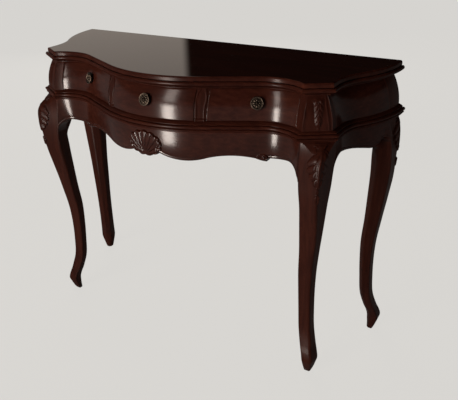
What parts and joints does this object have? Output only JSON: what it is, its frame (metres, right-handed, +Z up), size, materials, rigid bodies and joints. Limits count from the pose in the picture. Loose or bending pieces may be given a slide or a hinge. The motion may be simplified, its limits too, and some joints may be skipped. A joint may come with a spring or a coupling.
{
  "type": "pier table",
  "caption": "Serpentine pier table of dark polished wood with bombe frieze drawers on slides, moulded top and waist, scalloped carved apron and slender cabriole legs",
  "frame": {"origin": "on the floor under the middle of the table's box", "axes": "X along the front, +Y to the back against the wall, +Z up"},
  "size_m": [1.0744, 0.4106, 0.8],
  "materials": {
    "mahogany": "dark polished red-brown mahogany",
    "drawer_wood": "plain sanded pale hardwood",
    "inner_wood": "plain unpolished hardwood",
    "brass": "antique brass with a dark patina",
    "steel": "plain steel"
  },
  "bodies": {
    "carcase": {"top_board": "mahogany", "top_screws": "steel", "back_panel": "inner_wood", "top_rail_front": "inner_wood", "top_rail_back": "inner_wood", "waist_front": "mahogany", "waist_left": "mahogany", "waist_right": "mahogany", "waist_back": "mahogany", "dust_board": "inner_wood", "apron_front": "mahogany", "apron_left": "mahogany", "apron_right": "mahogany", "apron_back": "mahogany", "apron_shell": "mahogany", "post_back_left": "mahogany", "post_front_left": "mahogany", "side_panel_left": "mahogany", "stile_left": "mahogany", "partition_left": "inner_wood", "drawer_guide_left": "inner_wood", "leg_front_left": "mahogany", "leg_back_left": "mahogany", "corner_block_front_left": "inner_wood", "corner_block_back_left": "inner_wood", "post_back_right": "mahogany", "post_front_right": "mahogany", "side_panel_right": "mahogany", "stile_right": "mahogany", "partition_right": "inner_wood", "drawer_guide_right": "inner_wood", "leg_front_right": "mahogany", "leg_back_right": "mahogany", "corner_block_front_right": "inner_wood", "corner_block_back_right": "inner_wood", "drawer_stop_left": "inner_wood", "drawer_stop_centre": "inner_wood", "drawer_stop_right": "inner_wood"},
    "drawer_left": {"drawer_left_front": "mahogany", "drawer_left_side_left": "drawer_wood", "drawer_left_side_right": "drawer_wood", "drawer_left_back": "drawer_wood", "drawer_left_bottom": "drawer_wood", "drawer_left_knob": "brass", "drawer_left_knob_screw": "steel"},
    "drawer_centre": {"drawer_centre_front": "mahogany", "drawer_centre_side_left": "drawer_wood", "drawer_centre_side_right": "drawer_wood", "drawer_centre_back": "drawer_wood", "drawer_centre_bottom": "drawer_wood", "drawer_centre_knob": "brass", "drawer_centre_knob_screw": "steel"},
    "drawer_right": {"drawer_right_front": "mahogany", "drawer_right_side_left": "drawer_wood", "drawer_right_side_right": "drawer_wood", "drawer_right_back": "drawer_wood", "drawer_right_bottom": "drawer_wood", "drawer_right_knob": "brass", "drawer_right_knob_screw": "steel"}
  },
  "joints": [
    {"name": "drawer_left_slide", "type": "slide", "parent": "carcase", "child": "drawer_left", "axis": [0, -1, 0], "range_m": [0, 0.17]},
    {"name": "drawer_centre_slide", "type": "slide", "parent": "carcase", "child": "drawer_centre", "axis": [0, -1, 0], "range_m": [0, 0.22]},
    {"name": "drawer_right_slide", "type": "slide", "parent": "carcase", "child": "drawer_right", "axis": [0, -1, 0], "range_m": [0, 0.17]}
  ]
}
